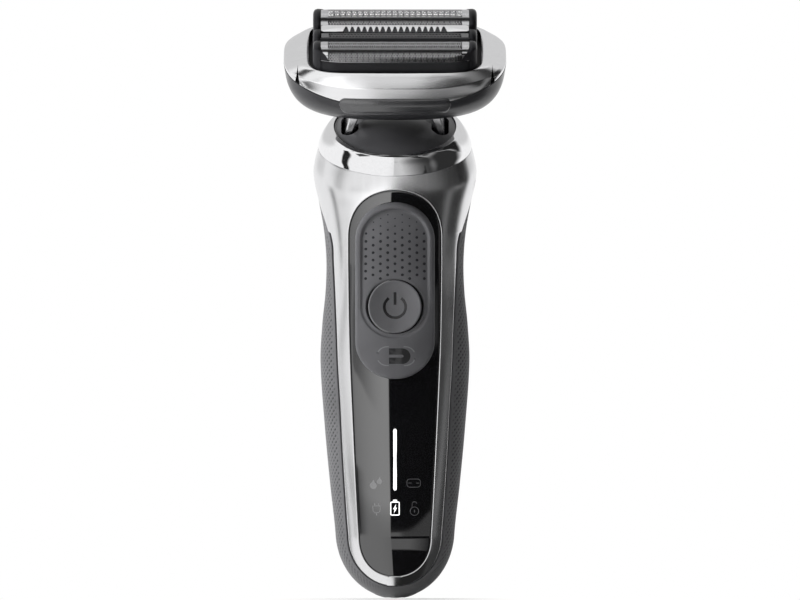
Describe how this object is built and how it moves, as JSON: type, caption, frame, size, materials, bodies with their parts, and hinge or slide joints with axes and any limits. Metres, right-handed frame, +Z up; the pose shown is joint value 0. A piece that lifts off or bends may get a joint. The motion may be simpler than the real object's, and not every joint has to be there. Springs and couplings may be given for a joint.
{
  "type": "electric foil shaver",
  "caption": "Cordless foil shaver: contoured silver and rubber handle with a glossy panel, lock slider, power button and a leaning, pivoting head with floating foils and a trimmer.",
  "frame": {"origin": "lowest point of the rounded foot, under the middle of the handle", "axes": "+Z runs up the handle from the foot to the head, the control panel faces -Y, +X is to the right of someone who looks at the panel"},
  "size_m": [0.0602, 0.0451, 0.1597],
  "materials": {
    "silver_frame": "satin silver lacquer with a polished edge",
    "grip_rubber": "matt soft-touch, dimpled",
    "panel_gloss": "high gloss black",
    "light_bar": "translucent white, lit",
    "chassis_plastic": "moulded",
    "cell_wrap": "shrink sleeve",
    "gold_contact": "gold plated",
    "board": "solder mask",
    "steel": "turned",
    "black_plastic": "moulded",
    "led": "moulded",
    "seal_rubber": "matt",
    "slider_plastic": "fine matt with a dotted pad",
    "button_plastic": "fine satin",
    "release_button": "fine matt",
    "chrome_ring": "polished",
    "neck_plastic": "satin",
    "chrome_arm": "polished",
    "head_plastic": "satin gloss",
    "tab_gloss": "gloss",
    "copper_coil": "enamelled copper",
    "side_button": "fine matt",
    "chrome_frame": "polished",
    "holder_plastic": "satin",
    "foil_metal": "perforated foil",
    "grey_plastic": "moulded",
    "blade_steel": "ground",
    "comb_metal": "polished"
  },
  "bodies": {
    "handle": {"front_frame": "silver_frame", "rear_grip": "grip_rubber", "display_panel": "panel_gloss", "light_bar": "light_bar", "inner_chassis": "chassis_plastic", "battery_cell": "cell_wrap", "battery_contacts": "gold_contact", "main_board": "board", "board_screws": "steel", "tact_switch": "black_plastic", "display_leds": "led", "slider_guide": "black_plastic", "charging_socket": "black_plastic", "socket_pins": "gold_contact", "socket_seal": "seal_rubber", "station_contacts": "gold_contact", "module_contacts": "gold_contact"},
    "slider": {"lock_slider": "slider_plastic", "slider_catch": "black_plastic"},
    "button": {"power_button": "button_plastic"},
    "head_release": {"head_release_button": "release_button"},
    "neck_module": {"collar_ring": "chrome_ring", "neck_base": "black_plastic", "neck_dome": "neck_plastic", "roll_pin": "steel"},
    "yoke": {"neck_yoke": "chrome_arm"},
    "head": {"head_axles": "steel", "head_bracket": "steel", "head_base": "head_plastic", "front_tab": "tab_gloss", "drive_stator": "copper_coil", "drive_deck": "black_plastic"},
    "armature": {"drive_armature": "steel"},
    "release_left": {"release_button_left": "side_button"},
    "release_right": {"release_button_right": "side_button"},
    "cassette": {"cassette_frame": "chrome_frame", "cassette_tray": "black_plastic", "float_springs": "steel"},
    "front_unit": {"front_foil_holder": "holder_plastic", "front_foil": "foil_metal"},
    "front_cutter": {"front_cutter_carrier": "grey_plastic", "front_cutter_blades": "blade_steel"},
    "rear_unit": {"rear_foil_holder": "holder_plastic", "rear_foil": "foil_metal"},
    "rear_cutter": {"rear_cutter_carrier": "grey_plastic", "rear_cutter_blades": "blade_steel"},
    "trimmer_unit": {"trimmer_holder": "holder_plastic", "trimmer_comb": "comb_metal", "trimmer_guard": "comb_metal"},
    "trimmer_cutter": {"trimmer_blade": "blade_steel"}
  },
  "joints": [
    {"name": "slider_slide", "type": "slide", "parent": "handle", "child": "slider", "axis": [0, 0, 1], "range_m": [0, 0.0024]},
    {"name": "button_press", "type": "slide", "parent": "slider", "child": "button", "axis": [0, 1, 0], "range_m": [0, 0.0006], "stiffness_N_per_m": 3000, "springref_m": -0.0003},
    {"name": "head_release_press", "type": "slide", "parent": "handle", "child": "head_release", "axis": [0, -1, 0], "range_m": [0, 0.001], "stiffness_N_per_m": 3000, "springref_m": -0.0004},
    {"name": "head_lift", "type": "slide", "parent": "handle", "child": "neck_module", "axis": [0, -0.5, 0.866], "range_m": [0, 0.02]},
    {"name": "head_roll", "type": "hinge", "parent": "neck_module", "child": "yoke", "pos_m": [0, -0.00215, 0.12602], "axis": [0, 0.866, 0.5], "range_deg": [-8, 8], "stiffness_Nm_per_rad": 0.9},
    {"name": "head_pitch", "type": "hinge", "parent": "yoke", "child": "head", "pos_m": [0, -0.01005, 0.13971], "axis": [1, 0, 0], "range_deg": [-15, 15], "stiffness_Nm_per_rad": 0.4},
    {"name": "armature_slide", "type": "slide", "parent": "head", "child": "armature", "axis": [1, 0, 0], "range_m": [-0.0012, 0.0012], "stiffness_N_per_m": 2500},
    {"name": "release_left_press", "type": "slide", "parent": "head", "child": "release_left", "axis": [1, 0, 0], "range_m": [0, 0.0012], "stiffness_N_per_m": 2500, "springref_m": -0.0004},
    {"name": "release_right_press", "type": "slide", "parent": "head", "child": "release_right", "axis": [-1, 0, 0], "range_m": [0, 0.0012], "stiffness_N_per_m": 2500, "springref_m": -0.0004},
    {"name": "cassette_lift", "type": "slide", "parent": "head", "child": "cassette", "axis": [0, -0.5, 0.866], "range_m": [0, 0.02]},
    {"name": "front_float", "type": "slide", "parent": "cassette", "child": "front_unit", "axis": [0, -0.5, 0.866], "range_m": [-0.002, 0], "stiffness_N_per_m": 700, "springref_m": 0.0006, "deforming": ["float_springs"]},
    {"name": "front_cutter_slide", "type": "slide", "parent": "front_unit", "child": "front_cutter", "axis": [1, 0, 0], "range_m": [-0.0012, 0.0012]},
    {"name": "rear_float", "type": "slide", "parent": "cassette", "child": "rear_unit", "axis": [0, -0.5, 0.866], "range_m": [-0.002, 0], "stiffness_N_per_m": 700, "springref_m": 0.0006, "deforming": ["float_springs"]},
    {"name": "rear_cutter_slide", "type": "slide", "parent": "rear_unit", "child": "rear_cutter", "axis": [1, 0, 0], "range_m": [-0.0012, 0.0012]},
    {"name": "trimmer_float", "type": "slide", "parent": "cassette", "child": "trimmer_unit", "axis": [0, -0.5, 0.866], "range_m": [-0.002, 0], "stiffness_N_per_m": 700, "springref_m": 0.0006, "deforming": ["float_springs"]},
    {"name": "trimmer_cutter_slide", "type": "slide", "parent": "trimmer_unit", "child": "trimmer_cutter", "axis": [1, 0, 0], "range_m": [-0.0012, 0.0012]}
  ],
  "couplings": [
    {"joint": "front_cutter_slide", "follows": "armature_slide", "ratio": 1},
    {"joint": "rear_cutter_slide", "follows": "armature_slide", "ratio": 1},
    {"joint": "trimmer_cutter_slide", "follows": "armature_slide", "ratio": 1}
  ]
}
